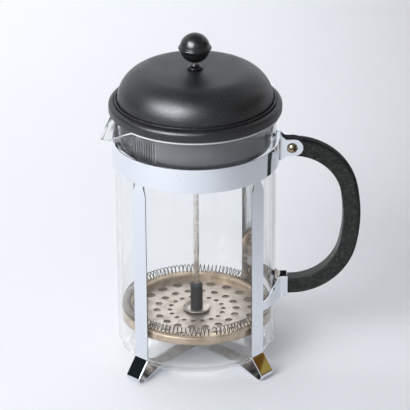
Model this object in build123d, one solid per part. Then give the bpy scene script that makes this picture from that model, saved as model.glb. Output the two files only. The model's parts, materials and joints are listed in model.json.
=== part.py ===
from build123d import *
from math import asin, atan2, cos, degrees, hypot, radians, sin, sqrt
import os

# French press: a glass beaker in a chromed strap frame, a domed lid and a plunger with a sprung filter.
# Millimetres. +Z is up, z = 0 is the table, the beaker's axis is Z and the handle points along +X.

# Beaker
beaker_radius = 58.0
beaker_wall = 2.2
beaker_floor = 3.0
beaker_heel_radius = 11.0
beaker_height = 187.3
beaker_seat_gap = 0.2
rim_flare = 2.6
rim_flare_height = 10.0
spout_angle = -158.0
spout_reach = 16.0
spout_drop = 9.7
spout_band_gap = 0.8
spout_half_width = 32.0
spout_foot_half_width = 14.0
spout_tip_radius = 4.5
spout_root_depth = 24.0

# Leg straps
strap_width = 12.2
strap_thickness = 1.0
leg_clearance = 0.9
knee_height = 16.3
knee_radius = 4.0
foot_radius = 3.5
foot_reach = 7.0
foot_flat_depth = 0.25
rest_inset = 10.5
rest_bend_radius = 6.0
rest_height = 6.5
crossing_run = 8.0
crossing_slope = 6.0
crossing_radius = 3.0
neck_width = 6.8
neck_thickness = 0.6
neck_overlap = 11.0
shoulder_height = 9.0
strap_angle = 45.0

# Clamp band and its ears
band_thickness = 0.9
band_height = 18.0
band_rim_drop = 20.8
ear_bend_radius = 2.5
ear_height = 12.6
ear_length = 17.0
ear_taper = 3.0

# Handle
handle_width = 11.0
handle_depth = 12.8
handle_outer_edge = 3.2
handle_inner_edge = 0.8
handle_gap = 2.6
handle_top_reach = 46.1
handle_side_reach = 54.8
handle_side_drop = 58.2
handle_low_reach = 44.1
handle_low_drop = 111.2
handle_low_gap = 6.8
handle_top_bend = 43.0
handle_side_bend = 100.0
handle_low_bend = 42.0
ear_recess_gap = 0.7
tongue_height = 9.0
tongue_length = 6.0

# Lower handle bracket
bracket_thickness = 0.7
bracket_glass_gap = 0.3
bracket_leg_height = 7.2
bracket_plate_height = 16.5
bracket_lap = 12.0
bracket_elbow_radius = 15.0
bracket_bend_radius = 2.0
bracket_end_gap = 0.3
bracket_flare_inset = 9.0
bracket_flare_length = 25.0

# Handle screw and nut
screw_setback = 8.1
screw_radius = 2.0
screw_hole_gap = 0.15
screw_head_radius = 4.0
screw_head_height = 2.4
screw_recess_width = 1.0
screw_recess_length = 4.6
screw_recess_depth = 1.3
screw_tail = 1.2
nut_across_flats = 7.0
nut_height = 3.2

# Lid
lid_seat_gap = 0.3
flange_overhang = 1.6
flange_height = 7.1
flange_edge_radius = 3.4
flange_foot_radius = 1.0
flange_crest = 0.7
step_width = 1.1
step_height = 2.2
groove_width = 0.8
outer_groove_width = 0.8
outer_groove_depth = 1.2
dome_wall = 2.4
dome_side_height = 0.4
dome_shoulder_radius = 22.8
dome_crown_radius = 635.0
skirt_glass_gap = 1.8
skirt_wall = 1.6
skirt_drop = 24.0
comb_half_angle = 33.6
comb_slots = 30
comb_slot_width = 1.0
comb_slot_height = 19.3
comb_top_gap = 3.5

# Rod guide
guide_head_radius = 5.7
guide_head_foot_radius = 4.6
guide_head_top_radius = 3.2
guide_head_height = 3.3
guide_head_foot = 1.0
guide_shank_radius = 3.6
guide_tail = 9.0
guide_lip = 0.7
guide_lip_height = 1.6
guide_turn_gap = 0.06
guide_end_gap = 0.2

# Knob
knob_radius = 10.8
knob_clear_height = 1.4
belt_stand = 1.1
belt_thickness = 2.4
insert_across_flats = 7.0
insert_length = 8.0
insert_depth = 2.5

# Rod, sleeve and filter
rod_radius = 2.0
rod_slide_gap = 0.08
rod_fit = 0.02
rod_tail = 1.0
sleeve_radius = 4.5
sleeve_length = 21.0
sleeve_chamfer = 1.2
washer_radius = 10.0
washer_flat_radius = 7.0
washer_thickness = 0.8
washer_rise = 1.6
washer_bend_radius = 1.2
plate_height = 33.2
plate_thickness = 0.8
plate_bend_radius = 0.6
rim_glass_gap = 0.5
rim_width = 7.7
rim_height = 5.4
inner_ring_step = 9.6
inner_hole_radius = 1.8
inner_hole_count = 18
middle_ring_step = 12.0
middle_hole_radius = 2.8
middle_hole_count = 18
outer_ring_inset = 6.2
outer_hole_radius = 3.6
outer_hole_count = 20
mesh_thickness = 0.4
mesh_edge_gap = 0.3
cross_thickness = 0.8
cross_setback = 3.3
cross_hub_radius = 14.0
cross_rim = 6.0
cross_arm = 9.0
filter_nut_flats = 9.0
filter_nut_height = 4.5

# Coil spring on the plate's rim
spring_turns = 100
spring_wire_radius = 0.35
spring_loop_radius = 2.95
spring_clearance = 0.2
spring_start_angle = 8.0
spring_gap_angle = 3.0

# Levels and radii that follow from the sizes above
beaker_bottom = rest_height + beaker_seat_gap
beaker_inner = beaker_radius - beaker_wall
rim_top = beaker_bottom + beaker_height
rim_radius = beaker_radius + rim_flare
leg_inner = beaker_radius + leg_clearance
leg_middle = leg_inner + strap_thickness / 2
band_inner = leg_inner + neck_thickness
band_middle = band_inner + band_thickness / 2
band_outer = band_inner + band_thickness
band_top = rim_top - band_rim_drop
band_bottom = band_top - band_height
band_centre = band_bottom + band_height / 2
neck_top = band_bottom + neck_overlap
ear_middle = handle_width / 2 - band_thickness / 2
ear_end = band_outer + ear_length
ear_radius = ear_height / 2
screw_x = ear_end - screw_setback
screw_hole_radius = screw_radius + screw_hole_gap
tongue_half = handle_width / 2 - bracket_thickness
handle_low_end = band_outer + handle_low_gap
handle_low_height = band_centre - handle_low_drop
handle_side_height = band_centre - handle_side_drop
flange_bottom = rim_top + lid_seat_gap
flange_radius = rim_radius + flange_overhang
step_outer = flange_radius - flange_edge_radius - outer_groove_width
step_inner = step_outer - step_width
dome_radius = step_inner - groove_width
skirt_radius = beaker_inner - skirt_glass_gap
shelf = flange_bottom + flange_height
shoulder_centre_height = shelf + dome_side_height
shoulder_offset = dome_radius - dome_shoulder_radius
crown_drop = sqrt((dome_crown_radius - dome_shoulder_radius) ** 2 - shoulder_offset ** 2)
crown_centre_height = shoulder_centre_height - crown_drop
dome_top = crown_centre_height + dome_crown_radius
guide_hole_radius = guide_shank_radius + guide_turn_gap
guide_head_bottom = dome_top + guide_end_gap
guide_head_top = guide_head_bottom + guide_head_height
guide_lip_top = dome_top - dome_wall - guide_end_gap
knob_centre = guide_head_top + knob_clear_height + knob_radius
insert_bottom = knob_centre - knob_radius + insert_depth
insert_top = insert_bottom + insert_length
rod_hole = rod_radius + rod_fit
plate_top = plate_height + plate_thickness
rim_outer_radius = beaker_inner - rim_glass_gap
rim_inner_radius = rim_outer_radius - rim_width
outer_hole_ring = rim_inner_radius - outer_ring_inset
middle_hole_ring = outer_hole_ring - middle_ring_step
inner_hole_ring = middle_hole_ring - inner_ring_step
cross_radius = rim_outer_radius - cross_setback
ledge_top = plate_height + rim_height
mesh_bottom = plate_height - mesh_thickness
cross_bottom = mesh_bottom - cross_thickness
nut_bottom = cross_bottom - filter_nut_height
sleeve_bottom = plate_top + washer_thickness
spring_radius = rim_outer_radius - spring_wire_radius - spring_loop_radius
spring_height = ledge_top + spring_clearance + spring_wire_radius + spring_loop_radius
through = 4 * beaker_radius


# Shapes that several pieces share
def disc(radius, low, high):
    return Pos(0, 0, low) * Cylinder(radius, high - low, align=(Align.CENTER, Align.CENTER, Align.MIN))


def ring(outer, inner, low, high):
    return disc(outer, low, high) - disc(inner, low, high)


def hexagon(across_flats, low, high):
    return Pos(0, 0, low) * extrude(RegularPolygon(across_flats / 2, 6, major_radius=False), high - low)


def polar(radius, angle):
    return radius * cos(radians(angle)), radius * sin(radians(angle))


def turned(face):
    return revolve(Plane.XZ * face, Axis.Z)


def pushed(face, width):
    # a face drawn in X and Z, given its width along Y on both sides
    return extrude(Plane.XZ * face, width / 2, both=True)


def cross_hole(radius, x, z):
    return Pos(x, 0, z) * Rot(90, 0, 0) * Cylinder(radius, through)


def offset_points(points, shift):
    # the polyline moved sideways by the shift, with mitred corners
    moved = []
    last = len(points) - 1
    for k, (x, y) in enumerate(points):
        before = points[max(k - 1, 0)]
        after = points[min(k + 1, last)]
        into = atan2(y - before[1], x - before[0]) if k > 0 else atan2(after[1] - y, after[0] - x)
        out = atan2(after[1] - y, after[0] - x) if k < last else into
        turn = (out - into) / 2
        side = into + turn
        reach = shift / cos(turn)
        moved.append((x - reach * sin(side), y + reach * cos(side)))
    return moved


def bent_sheet(points, radii, thickness):
    # a strip of sheet seen edge on: its middle line is the polyline with rounded corners
    half = thickness / 2
    edges = []
    ends = []
    for shift in (half, -half):
        rounded = []
        for k, radius in enumerate(radii):
            ax, ay = points[k + 1][0] - points[k][0], points[k + 1][1] - points[k][1]
            bx, by = points[k + 2][0] - points[k + 1][0], points[k + 2][1] - points[k + 1][1]
            left_turn = ax * by - ay * bx > 0
            rounded.append(radius - shift if left_turn else radius + shift)
        line = offset_points(points, shift)
        edges.append(FilletPolyline(*line, radius=rounded))
        ends.append((line[0], line[-1]))
    caps = Line(ends[0][0], ends[1][0]) + Line(ends[0][1], ends[1][1])
    return make_face(edges[0] + edges[1] + caps)


# Beaker
def beaker_section(radius, low, heel):
    # half section from the axis out, up the wall and out along the flared rim
    flare_low = rim_top - rim_flare_height
    lip = radius + rim_flare
    line = Polyline((0, rim_top), (0, low), (radius - heel, low))
    line += RadiusArc((radius - heel, low), (radius, low + heel), -heel)
    line += Line((radius, low + heel), (radius, flare_low))
    line += TangentArc((radius, flare_low), (lip, rim_top), tangent=(0, 1))
    line += Line((lip, rim_top), (0, rim_top))
    return make_face(line)


def spout_section(tip, tip_radius, half_width, height):
    # a wedge with a round tip, its back edge hidden inside the beaker
    back = beaker_radius - spout_root_depth
    centre = tip - tip_radius
    flank = atan2(half_width, centre - back) - asin(tip_radius / hypot(half_width, centre - back))
    touch = (centre + tip_radius * sin(flank), tip_radius * cos(flank))
    mirrored = (touch[0], -touch[1])
    line = ThreePointArc(mirrored, (tip, 0), touch)
    line += Polyline(touch, (back, half_width), (back, -half_width), mirrored)
    return Pos(0, 0, height) * make_face(line)


def spout_wedge(inset):
    # leans outwards from its foot, and is as long at the rim as the sloping cut through its top needs
    foot = band_top + spout_band_gap
    foot_tip = beaker_radius - inset
    rim_tip = foot_tip + spout_reach * (rim_top - foot) / (rim_top - spout_drop - foot)
    low = spout_section(foot_tip, spout_tip_radius, spout_foot_half_width, foot)
    high = spout_section(rim_tip, spout_tip_radius - inset / 2, spout_half_width - inset, rim_top)
    return loft([low, high], ruled=True)


def glass_beaker():
    outer = turned(beaker_section(beaker_radius, beaker_bottom, beaker_heel_radius))
    floor_top = beaker_bottom + beaker_floor
    inner = turned(beaker_section(beaker_inner, floor_top, beaker_heel_radius - beaker_wall))
    body = outer + spout_wedge(0) - inner - spout_wedge(beaker_wall)
    # the pouring edge slopes down from the rim to the spout's tip
    slope = degrees(atan2(spout_drop, spout_reach))
    corner = (Align.MIN, Align.CENTER, Align.MIN)
    trim = Pos(beaker_radius, 0, rim_top) * Rot(0, slope, 0) * Box(through, through, through, align=corner)
    return Rot(0, 0, spout_angle) * (body - trim)


# Frame
def touch_angle(point, centre, radius, side):
    # direction of the line from the point that just touches the circle, on the given side
    dx, dy = centre[0] - point[0], centre[1] - point[1]
    return atan2(dy, dx) + side * asin(radius / hypot(dx, dy))


def meeting_point(point_a, angle_a, point_b, angle_b):
    dx, dy = point_b[0] - point_a[0], point_b[1] - point_a[1]
    run = (dx * sin(angle_b) - dy * cos(angle_b)) / sin(angle_b - angle_a)
    return point_a[0] + run * cos(angle_a), point_a[1] + run * sin(angle_a)


def leg_strap(angle, dip):
    # one strip: down a leg, round a foot, under the beaker and up the opposite leg
    bend_radius = foot_radius - strap_thickness / 2
    rest_middle = rest_height - strap_thickness / 2
    knee = (leg_middle, knee_height)
    foot = (leg_inner + foot_reach, foot_radius - foot_flat_depth)
    rest = (leg_inner - rest_inset, rest_middle)
    outer_side = touch_angle(knee, foot, bend_radius, 1)
    under_side = touch_angle(rest, foot, bend_radius, -1)
    half = [(leg_middle, neck_top), knee, meeting_point(knee, outer_side, rest, under_side), rest]
    radii = [knee_radius, bend_radius, rest_bend_radius]
    if dip:
        half += [(crossing_run + crossing_slope, rest_middle), (crossing_run, rest_middle - dip)]
        radii += [crossing_radius, crossing_radius]
    points = half + [(-x, z) for x, z in reversed(half)]
    strip = pushed(bent_sheet(points, radii + radii[::-1], strap_thickness), strap_width)
    # the feet are flat where they stand
    under = (Align.CENTER, Align.CENTER, Align.MAX)
    strip -= Box(through, through, through, align=under)
    # the neck behind the band is narrower, with sloping shoulders, and follows the band's curve
    outline = Polyline(
        (strap_width / 2, band_bottom - shoulder_height),
        (neck_width / 2, band_bottom),
        (neck_width / 2, neck_top),
        (strap_width, neck_top),
        (strap_width, band_bottom - shoulder_height),
        close=True,
    )
    shoulder = extrude(Plane.YZ * make_face(outline), through / 2, both=True)
    strip -= shoulder + mirror(shoulder, about=Plane.XZ)
    strip -= ring(through, band_inner, band_bottom, neck_top)
    return Rot(0, 0, angle) * strip


def bend_centre():
    y = ear_middle + ear_bend_radius
    return sqrt((band_middle + ear_bend_radius) ** 2 - y ** 2), y


def band_edge(shift):
    # one side of the band seen from above: ear, bend, round the beaker, bend, ear
    bend_x, bend_y = bend_centre()
    leave_angle = degrees(atan2(bend_y, bend_x))
    radius = band_middle + shift
    ear_y = ear_middle + shift
    leave = polar(radius, leave_angle)
    mid_x, mid_y = polar(ear_bend_radius - shift, (leave_angle - 270) / 2)
    mid_bend = (bend_x + mid_x, bend_y + mid_y)
    line = ThreePointArc(leave, (-radius, 0), (leave[0], -leave[1]))
    for side in (1, -1):
        tip, root = (ear_end, side * ear_y), (bend_x, side * ear_y)
        line += Line(tip, root)
        line += ThreePointArc(root, (mid_bend[0], side * mid_bend[1]), (leave[0], side * leave[1]))
    return line


def clamp_band():
    half = band_thickness / 2
    tips = [(ear_end, ear_middle + half), (ear_end, ear_middle - half)]
    caps = Line(*tips) + Line(*[(x, -y) for x, y in tips])
    outline = make_face(band_edge(half) + band_edge(-half) + caps)
    strip = Pos(0, 0, band_bottom) * extrude(outline, band_height)
    # the ears are lower than the band and have round ends
    bend_x = bend_centre()[0]
    ear_low, ear_high = band_centre - ear_radius, band_centre + ear_radius
    straight = ear_end - ear_radius
    outline = ThreePointArc((straight, ear_low), (ear_end, band_centre), (straight, ear_high))
    outline += Polyline(
        (straight, ear_high),
        (bend_x + ear_taper, ear_high),
        (bend_x, band_top),
        (-through, band_top),
        (-through, band_bottom),
        (bend_x, band_bottom),
        (bend_x + ear_taper, ear_low),
        (straight, ear_low),
    )
    strip = strip & pushed(make_face(outline), through)
    return strip - cross_hole(screw_hole_radius, screw_x, band_centre)


def handle():
    start = (band_outer + handle_gap, 0, band_centre)
    path = FilletPolyline(
        start,
        (band_outer + handle_top_reach, 0, band_centre),
        (band_outer + handle_side_reach, 0, handle_side_height),
        (band_outer + handle_low_reach, 0, handle_low_height),
        (handle_low_end, 0, handle_low_height),
        radius=[handle_top_bend, handle_side_bend, handle_low_bend],
    )
    section = Plane(start, x_dir=(0, 1, 0), z_dir=(1, 0, 0))
    profile = Rectangle(handle_width, handle_depth)
    profile = fillet(profile.vertices().group_by(Axis.Y)[-1], handle_outer_edge)
    profile = fillet(profile.vertices().group_by(Axis.Y)[0], handle_inner_edge)
    grip = sweep(section * profile, path=path)
    # a tongue enters the lower bracket
    tongue_x = handle_low_end - tongue_length
    place = (Align.MIN, Align.CENTER, Align.CENTER)
    tongue = Box(tongue_length + handle_outer_edge, 2 * tongue_half, tongue_height, align=place)
    grip += Pos(tongue_x, 0, handle_low_height) * tongue
    # both sides of the upper end are recessed for the ears
    straight = ear_end - ear_radius
    recess = Pos(straight / 2, 0) * Rectangle(straight, handle_depth * 2)
    recess += Pos(straight, 0) * Circle(ear_radius + ear_recess_gap)
    slab = Pos(0, 0, band_centre) * pushed(recess, handle_width * 2)
    slab -= Box(through, handle_width - 2 * band_thickness, through * 2)
    grip -= slab
    return grip - cross_hole(screw_hole_radius, screw_x, band_centre)


def lower_bracket():
    # one half of the bracket: from inside the front leg to a plate beside the handle's tongue
    middle = beaker_radius + bracket_glass_gap + bracket_thickness / 2
    lap_middle = leg_inner - bracket_thickness / 2
    start = polar(lap_middle, -strap_angle)
    along = radians(90 - strap_angle)
    elbow = (start[0] + bracket_lap * cos(along), start[1] + bracket_lap * sin(along))
    plate_y = bracket_thickness / 2 - handle_width / 2
    rise = touch_angle(elbow, (0, 0), middle, -1)
    root = meeting_point(elbow, rise, (0, plate_y), 0)
    tip = (handle_low_end - bracket_end_gap, plate_y)
    radii = [bracket_elbow_radius, bracket_bend_radius]
    strip_face = bent_sheet([start, elbow, root, tip], radii, bracket_thickness)
    low = handle_low_height - bracket_plate_height / 2
    strip = Pos(0, 0, low) * extrude(strip_face, bracket_plate_height)
    # the arm tapers towards the leg
    tall, short = bracket_plate_height / 2, bracket_leg_height / 2
    flare_start = bracket_flare_inset + bracket_flare_length
    outline = Polyline(
        (-beaker_radius, -short),
        (-flare_start, -short),
        (-bracket_flare_inset, -tall),
        (0, -tall),
        (0, tall),
        (-bracket_flare_inset, tall),
        (-flare_start, short),
        (-beaker_radius, short),
        close=True,
    )
    return strip & Pos(0, 0, handle_low_height) * extrude(Plane.YZ * make_face(outline), through)


def handle_screw():
    # domed head on the near ear, shank through the handle, tail past the nut
    seat = handle_width / 2
    tail = seat + nut_height + screw_tail
    dome = (screw_head_radius ** 2 + screw_head_height ** 2) / (2 * screw_head_height)
    head = Pos(0, 0, seat + screw_head_height - dome) * Sphere(dome)
    head &= disc(screw_head_radius, seat, seat + screw_head_height)
    slot_low = seat + screw_head_height - screw_recess_depth
    slot = (Align.CENTER, Align.CENTER, Align.MIN)
    for turn in (0, 90):
        bar = Box(screw_recess_length, screw_recess_width, screw_head_height, align=slot)
        head -= Pos(0, 0, slot_low) * Rot(0, 0, turn) * bar
    screw = head + disc(screw_radius, -tail, seat)
    return Pos(screw_x, 0, band_centre) * Rot(90, 0, 0) * screw


def handle_nut():
    seat = handle_width / 2
    nut = hexagon(nut_across_flats, -seat - nut_height, -seat)
    nut -= disc(screw_radius + rod_fit, -seat - nut_height, -seat)
    return Pos(screw_x, 0, band_centre) * Rot(90, 0, 0) * nut


# Lid
def dome_solid(inset):
    # dome from its foot to the crown, made smaller by the inset on every side
    radius = dome_radius - inset
    shoulder = dome_shoulder_radius - inset
    crown = dome_crown_radius - inset
    lean = atan2(crown_drop, shoulder_offset)
    mid = lean / 2
    top = crown_centre_height + crown
    side = (radius, shoulder_centre_height)
    blend = (crown * cos(lean), crown_centre_height + crown * sin(lean))
    bulge = (shoulder_offset + shoulder * cos(mid), shoulder_centre_height + shoulder * sin(mid))
    line = Polyline((0, top), (0, shelf), (radius, shelf), side)
    line += ThreePointArc(side, bulge, blend)
    line += TangentArc((0, top), blend, tangent=(1, 0))
    return turned(make_face(line))


def lid_dome():
    return dome_solid(0) - dome_solid(dome_wall) - disc(guide_hole_radius, shelf, dome_top)


def lid_strainer():
    # flange ring with a step between two grooves, and the skirt that hangs in the beaker
    crest = shelf + flange_crest
    groove_floor = crest - outer_groove_depth
    step_top = shelf + step_height
    skirt_inner = skirt_radius - skirt_wall
    skirt_bottom = flange_bottom - skirt_drop
    foot = (flange_radius - flange_foot_radius, flange_bottom)
    side_low = (flange_radius, flange_bottom + flange_foot_radius)
    side_high = (flange_radius, crest - flange_edge_radius)
    brow = (flange_radius - flange_edge_radius, crest)
    line = Polyline((skirt_inner, skirt_bottom), (skirt_radius, skirt_bottom))
    line += Polyline((skirt_radius, skirt_bottom), (skirt_radius, flange_bottom), foot)
    line += TangentArc(foot, side_low, tangent=(1, 0))
    line += Line(side_low, side_high)
    line += TangentArc(side_high, brow, tangent=(0, 1))
    line += Polyline(
        brow,
        (brow[0], groove_floor),
        (step_outer, groove_floor),
        (step_outer, step_top),
        (step_inner, step_top),
        (step_inner, shelf),
        (skirt_inner, shelf),
        (skirt_inner, skirt_bottom),
    )
    pitch = 2 * comb_half_angle / (comb_slots - 1)
    slot_top = flange_bottom - comb_top_gap
    slot = Pos(skirt_radius - skirt_wall / 2, 0, slot_top - comb_slot_height / 2)
    slot *= Box(2 * skirt_wall, comb_slot_width, comb_slot_height)
    turns = [spout_angle - comb_half_angle + pitch * k for k in range(comb_slots)]
    return turned(make_face(line)) - [Rot(0, 0, turn) * slot for turn in turns]


def rod_guide():
    # collar on the dome, shank through it and a lip that snaps in underneath
    bore = rod_radius + rod_slide_gap
    lip_radius = guide_shank_radius + guide_lip
    lip_bottom = guide_lip_top - guide_lip_height
    tail_bottom = lip_bottom - guide_tail
    line = Polyline(
        (bore, tail_bottom),
        (guide_shank_radius, tail_bottom),
        (guide_shank_radius, lip_bottom),
        (lip_radius, guide_lip_top),
        (guide_shank_radius, guide_lip_top),
        (guide_shank_radius, guide_head_bottom),
        (guide_head_foot_radius, guide_head_bottom),
        (guide_head_radius, guide_head_bottom + guide_head_foot),
        (guide_head_top_radius, guide_head_top),
        (bore, guide_head_top),
        close=True,
    )
    return turned(make_face(line))


# Plunger
def knob():
    belt_radius = knob_radius + belt_stand
    belt_edge = belt_thickness / 2
    belt = disc(belt_radius - belt_edge, knob_centre - belt_edge, knob_centre + belt_edge)
    belt += Pos(0, 0, knob_centre) * Torus(belt_radius - belt_edge, belt_edge)
    ball = Pos(0, 0, knob_centre) * Sphere(knob_radius) + belt
    pocket = hexagon(insert_across_flats, insert_bottom, insert_top)
    return ball - pocket - disc(rod_hole, knob_centre - knob_radius, insert_bottom)


def knob_insert():
    return hexagon(insert_across_flats, insert_bottom, insert_top) - disc(rod_hole, insert_bottom, insert_top)


def plunger_rod():
    return disc(rod_radius, nut_bottom - rod_tail, insert_top)


def rod_sleeve():
    top = sleeve_bottom + sleeve_length
    line = Polyline(
        (rod_hole, sleeve_bottom),
        (sleeve_radius, sleeve_bottom),
        (sleeve_radius, top - sleeve_chamfer),
        (sleeve_radius - sleeve_chamfer, top),
        (rod_hole, top),
        close=True,
    )
    return turned(make_face(line))


def cup_washer():
    middle = plate_top + washer_thickness / 2
    points = [(rod_hole, middle), (washer_flat_radius, middle), (washer_radius, middle + washer_rise)]
    return turned(bent_sheet(points, [washer_bend_radius], washer_thickness))


def spiral_plate():
    # perforated sheet whose edge is raised into a ledge and turned down again
    half = plate_thickness / 2
    flat, ledge = plate_height + half, ledge_top - half
    points = [
        (rod_hole, flat),
        (rim_inner_radius + half, flat),
        (rim_inner_radius + half, ledge),
        (rim_outer_radius - half, ledge),
        (rim_outer_radius - half, plate_height),
    ]
    sheet = turned(bent_sheet(points, [plate_bend_radius] * 3, plate_thickness))
    rings = [
        (inner_hole_ring, inner_hole_radius, inner_hole_count),
        (middle_hole_ring, middle_hole_radius, middle_hole_count),
        (outer_hole_ring, outer_hole_radius, outer_hole_count),
    ]
    holes = []
    for ring_radius, hole_radius, count in rings:
        holes += [loc * disc(hole_radius, 0, 2 * plate_top) for loc in PolarLocations(ring_radius, count)]
    return sheet - holes


def mesh_disc():
    return ring(rim_outer_radius - mesh_edge_gap, rod_hole, mesh_bottom, plate_height)


def cross_plate():
    openings = ring(cross_radius - cross_rim, cross_hub_radius, cross_bottom, mesh_bottom)
    for turn in (0, 90):
        openings -= Rot(0, 0, turn) * Box(through, cross_arm, through)
    return ring(cross_radius, rod_hole, cross_bottom, mesh_bottom) - openings


def filter_nut():
    return hexagon(filter_nut_flats, nut_bottom, cross_bottom) - disc(rod_hole, nut_bottom, cross_bottom)


def biarc(start, start_way, end, end_way):
    # two arcs that meet smoothly and keep the direction at both ends
    chord = end - start
    both = start_way + end_way
    a = both.dot(both) - 4
    b = -2 * chord.dot(both)
    c = chord.dot(chord)
    reach = (-b - sqrt(b * b - 4 * a * c)) / (2 * a)
    joint = (start + start_way * reach + end - end_way * reach) * 0.5
    first = Edge.make_tangent_arc(start, start_way, joint)
    return [first, Edge.make_tangent_arc(joint, first % 1, end)]


def spring_edges():
    # the wire rises from the ledge, then winds round and round along the rim, half a turn at a time
    span = 360 - spring_gap_angle
    steps = 2 * spring_turns
    drift = radians(span) / (radians(180) * steps)
    up = Vector(0, 0, 1)
    places, ways = [], []
    for k in range(steps + 1):
        inward = k % 2 == 0
        radius = spring_radius - spring_loop_radius if inward else spring_radius + spring_loop_radius
        angle = spring_start_angle + span * k / steps
        places.append(Vector(*polar(radius, angle), spring_height))
        onward = Vector(*polar(radius * drift, angle + 90))
        climb = up * (spring_loop_radius if inward else -spring_loop_radius)
        ways.append(up if k in (0, steps) else (onward + climb).normalized())
    edges = [Edge.make_line(Vector(places[0].X, places[0].Y, ledge_top), places[0])]
    for k in range(steps):
        edges += biarc(places[k], ways[k], places[k + 1], ways[k + 1])
    edges.append(Edge.make_line(places[-1], places[-1] + up * 2 * spring_wire_radius))
    return edges


def least_gap(edges):
    # the smallest space between the wire and its own neighbouring turns, measured on points
    per_edge = 6
    turn_points = 4 * per_edge
    points = [edge @ (k / per_edge) for edge in edges for k in range(per_edge)]
    gaps = []
    for k, point in enumerate(points):
        neighbours = points[k + turn_points // 2:k + 2 * turn_points]
        gaps += [(point - other).length for other in neighbours]
    return min(gaps) - 2 * spring_wire_radius


def spring_coil():
    edges = spring_edges()
    print("spring: least gap to itself", round(least_gap(edges), 2), "mm")
    section = Plane(edges[0] @ 0, z_dir=(0, 0, 1)) * Circle(spring_wire_radius)
    wire = sweep(section, path=Wire(edges))
    length = sum(edge.length for edge in edges)
    share = wire.volume / (section.area * length)
    print("spring: wire length", round(length), "mm, volume against section times length", round(share, 4))
    return wire


front_bracket = lower_bracket()
pieces = {
    "clamp_band": clamp_band(),
    "leg_strap_upper": leg_strap(strap_angle, 0),
    "leg_strap_lower": leg_strap(-strap_angle, strap_thickness),
    "bracket_front": front_bracket,
    "bracket_rear": mirror(front_bracket, about=Plane.XZ),
    "handle": handle(),
    "handle_screw": handle_screw(),
    "handle_nut": handle_nut(),
    "glass_beaker": glass_beaker(),
    "rod_guide": rod_guide(),
    "lid_dome": lid_dome(),
    "lid_strainer": lid_strainer(),
    "knob": knob(),
    "knob_insert": knob_insert(),
    "plunger_rod": plunger_rod(),
    "rod_sleeve": rod_sleeve(),
    "cup_washer": cup_washer(),
    "spiral_plate": spiral_plate(),
    "spring_coil": spring_coil(),
    "mesh_disc": mesh_disc(),
    "cross_plate": cross_plate(),
    "filter_nut": filter_nut(),
}

os.makedirs("parts", exist_ok=True)
for name, piece in pieces.items():
    export_step(piece, f"parts/{name}.step")
print("pieces written:", len(pieces))
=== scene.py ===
import json
import math
import random
import re
import bpy
from mathutils import Matrix, Vector


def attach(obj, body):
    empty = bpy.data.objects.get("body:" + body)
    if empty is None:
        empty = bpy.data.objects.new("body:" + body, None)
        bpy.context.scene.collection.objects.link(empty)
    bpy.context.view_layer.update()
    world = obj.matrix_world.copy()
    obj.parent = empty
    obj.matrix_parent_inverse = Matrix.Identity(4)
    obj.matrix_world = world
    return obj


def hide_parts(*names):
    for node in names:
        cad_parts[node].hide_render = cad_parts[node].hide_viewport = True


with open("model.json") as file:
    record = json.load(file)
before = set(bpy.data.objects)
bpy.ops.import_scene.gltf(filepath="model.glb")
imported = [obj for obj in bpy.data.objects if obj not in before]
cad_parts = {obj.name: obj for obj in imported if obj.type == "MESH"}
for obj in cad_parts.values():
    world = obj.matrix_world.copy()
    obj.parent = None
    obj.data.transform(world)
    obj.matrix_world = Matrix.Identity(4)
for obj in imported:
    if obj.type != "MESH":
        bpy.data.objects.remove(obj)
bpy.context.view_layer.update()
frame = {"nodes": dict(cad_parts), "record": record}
mm = 0.001
bodyOf = {node: body for body, nodes in frame["record"]["behaviour"]["bodies"].items() for node in nodes}
slotOf = {part["node"]: part["material_slot"] for part in frame["record"]["subparts"]}
print("frame loaded:", len(frame["nodes"]), "nodes")


# Camera, at the photographer's place
camera = {
    "lens": 224.92,
    "sensor": 36.0,
    "distance": 1862.9,
    "elevation": 24.955,
    "azimuth": -2.695,
    "roll": 0.304,
    "aimAcross": 6.56,
    "aimHeight": 118.48,
    "clip": (0.05, 50.0),
}


def placeCamera():
    lift, turn, roll = (math.radians(camera[k]) for k in ("elevation", "azimuth", "roll"))
    back = Vector((math.sin(turn) * math.cos(lift), -math.cos(turn) * math.cos(lift), math.sin(lift)))
    right = Vector((math.cos(turn), math.sin(turn), 0))
    up = back.cross(right)
    aim = (right * camera["aimAcross"] + Vector((0, 0, camera["aimHeight"]))) * mm
    across = right * math.cos(roll) - up * math.sin(roll)
    upward = right * math.sin(roll) + up * math.cos(roll)
    bpy.ops.object.camera_add(location=aim + back * camera["distance"] * mm)
    eye = bpy.context.active_object
    eye.rotation_euler = Matrix((across, upward, back)).transposed().to_euler()
    eye.data.lens = camera["lens"]
    eye.data.sensor_width = camera["sensor"]
    eye.data.clip_start, eye.data.clip_end = camera["clip"]
    bpy.context.scene.camera = eye


bpy.ops.object.select_all(action="DESELECT")
placeCamera()
print("camera placed")


# Shader helpers
class Wire:  # a socket that takes part in sums
    def __init__(self, tree, socket):
        self.tree = tree
        self.socket = socket

    def maths(self, operation, first, second):
        node = self.tree.nodes.new("ShaderNodeMath")
        node.operation = operation
        plug(self.tree, node.inputs[0], first)
        plug(self.tree, node.inputs[1], second)
        return Wire(self.tree, node.outputs[0])

    def __add__(self, other):
        return self.maths("ADD", self, other)

    def __radd__(self, other):
        return self.maths("ADD", other, self)

    def __sub__(self, other):
        return self.maths("SUBTRACT", self, other)

    def __rsub__(self, other):
        return self.maths("SUBTRACT", other, self)

    def __mul__(self, other):
        return self.maths("MULTIPLY", self, other)

    def __rmul__(self, other):
        return self.maths("MULTIPLY", other, self)


def plug(tree, socket, value):
    if isinstance(value, Wire):
        tree.links.new(value.socket, socket)
    elif socket.type == "RGBA":
        socket.default_value = (*value[:3], 1)
    else:
        socket.default_value = value


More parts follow.
